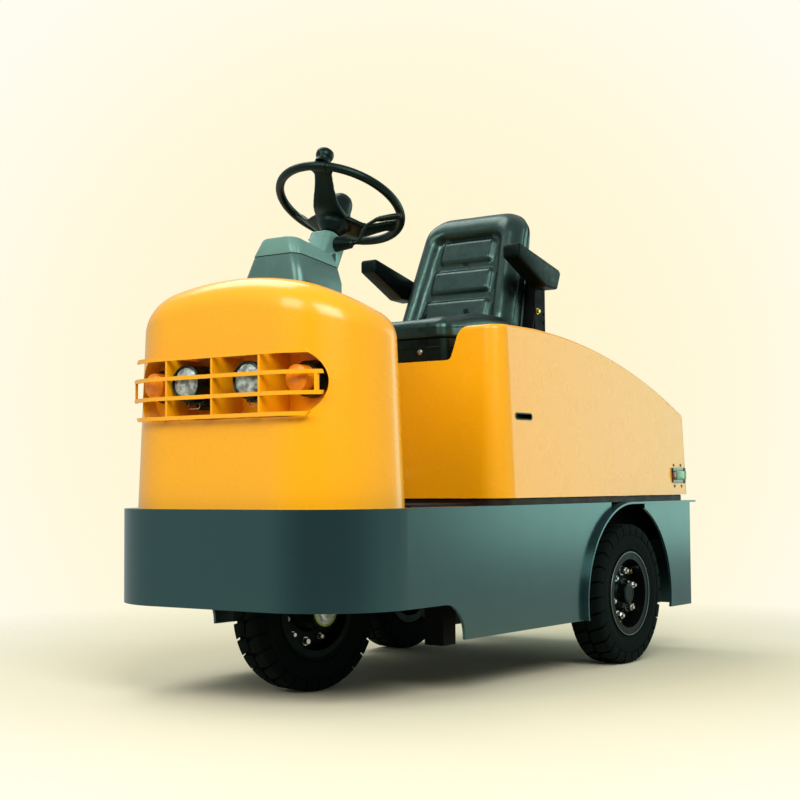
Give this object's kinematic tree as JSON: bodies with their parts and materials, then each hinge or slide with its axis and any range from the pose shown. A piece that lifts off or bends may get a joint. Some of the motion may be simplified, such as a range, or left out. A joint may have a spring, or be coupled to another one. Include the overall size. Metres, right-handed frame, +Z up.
{
  "type": "electric tow tractor",
  "caption": "Ride-on electric tow tractor with a single steered front wheel, tilting battery hood under the seat, steering wheel, folding armrests and a rear pin coupler.",
  "frame": {"origin": "on the ground, midway between the bumper's front and the coupler's rear, on the centre plane", "axes": "+X the tractor's left, -Y its front, +Z up"},
  "size_m": [0.91, 1.96, 1.4512],
  "materials": {
    "body_yellow": "gloss",
    "chassis_green": "satin",
    "console_grey": "satin",
    "frame_black": "satin",
    "black_plastic": "satin",
    "vinyl_black": "satin",
    "tyre": "matte",
    "rubber_black": "matte",
    "steel_plate": "brushed",
    "cast_grey": "matte",
    "lens_clear": "gloss",
    "lens_amber": "gloss",
    "lens_red": "gloss"
  },
  "bodies": {
    "chassis": {"bumper_skirt": "chassis_green", "rear_skirt": "chassis_green", "fender_strip_left": "chassis_green", "fender_strip_right": "chassis_green", "chassis_frame": "frame_black", "floor_deck": "chassis_green", "floor_mat": "rubber_black", "battery_block": "black_plastic", "front_cowl": "body_yellow", "lamp_grille": "body_yellow", "lamp_bracket": "black_plastic", "headlamp_left": "black_plastic", "headlamp_right": "black_plastic", "headlamp_lens_left": "lens_clear", "headlamp_lens_right": "lens_clear", "turn_lamp_left": "lens_amber", "turn_lamp_right": "lens_amber", "column_housing": "console_grey", "dash_console": "console_grey", "dash_lid": "console_grey", "control_lever": "black_plastic", "brake_pedal": "steel_plate", "accelerator_pedal": "black_plastic", "rear_axle": "cast_grey", "tow_coupler": "frame_black"},
    "hood": {"battery_hood": "body_yellow", "tail_lamp_left": "lens_red", "tail_lamp_right": "lens_red", "seat_base": "black_plastic", "seat_cushion": "vinyl_black", "seat_backrest": "vinyl_black", "seat_bracket": "steel_plate"},
    "armrest_left": {"armrest_left": "vinyl_black"},
    "armrest_right": {"armrest_right": "vinyl_black"},
    "steering_wheel": {"steering_rim": "black_plastic", "horn_button": "black_plastic", "spinner_knob": "black_plastic"},
    "front_fork": {"front_fork": "frame_black"},
    "front_wheel": {"front_tyre": "tyre", "front_rim": "frame_black"},
    "rear_wheel_left": {"rear_tyre_left": "tyre", "rear_rim_left": "frame_black"},
    "rear_wheel_right": {"rear_tyre_right": "tyre", "rear_rim_right": "frame_black"},
    "tow_pin": {"tow_pin": "steel_plate"}
  },
  "joints": [
    {"name": "front_steer", "type": "hinge", "parent": "chassis", "child": "front_fork", "pos_m": [0, -0.6, 0.4], "axis": [0, 0, 1], "range_deg": [-64.5, 85.5]},
    {"name": "front_wheel_spin", "type": "hinge", "parent": "front_fork", "child": "front_wheel", "pos_m": [0, -0.6, 0.2075], "axis": [0.9833, -0.1822, 0], "continuous": true},
    {"name": "rear_left_spin", "type": "hinge", "parent": "chassis", "child": "rear_wheel_left", "pos_m": [0.4025, 0.38, 0.2075], "axis": [1, 0, 0], "continuous": true},
    {"name": "rear_right_spin", "type": "hinge", "parent": "chassis", "child": "rear_wheel_right", "pos_m": [-0.4025, 0.38, 0.2075], "axis": [1, 0, 0], "continuous": true},
    {"name": "steering_wheel_turn", "type": "hinge", "parent": "chassis", "child": "steering_wheel", "pos_m": [0, -0.444, 1.312], "axis": [0, 0.4586, 0.8886], "range_deg": [-310, 411]},
    {"name": "hood_open", "type": "hinge", "parent": "chassis", "child": "hood", "pos_m": [0, 0.859, 0.495], "axis": [-1, 0, 0], "range_deg": [0, 45]},
    {"name": "armrest_left_fold", "type": "hinge", "parent": "hood", "child": "armrest_left", "pos_m": [0.26, 0.243, 1.152], "axis": [-1, 0, 0], "range_deg": [0, 60]},
    {"name": "armrest_right_fold", "type": "hinge", "parent": "hood", "child": "armrest_right", "pos_m": [-0.26, 0.243, 1.152], "axis": [-1, 0, 0], "range_deg": [0, 60]},
    {"name": "tow_pin_lift", "type": "slide", "parent": "chassis", "child": "tow_pin", "axis": [0, 0, 1], "range_m": [0, 0.125]}
  ],
  "couplings": [
    {"joint": "steering_wheel_turn", "follows": "front_steer", "ratio": 4.8}
  ]
}
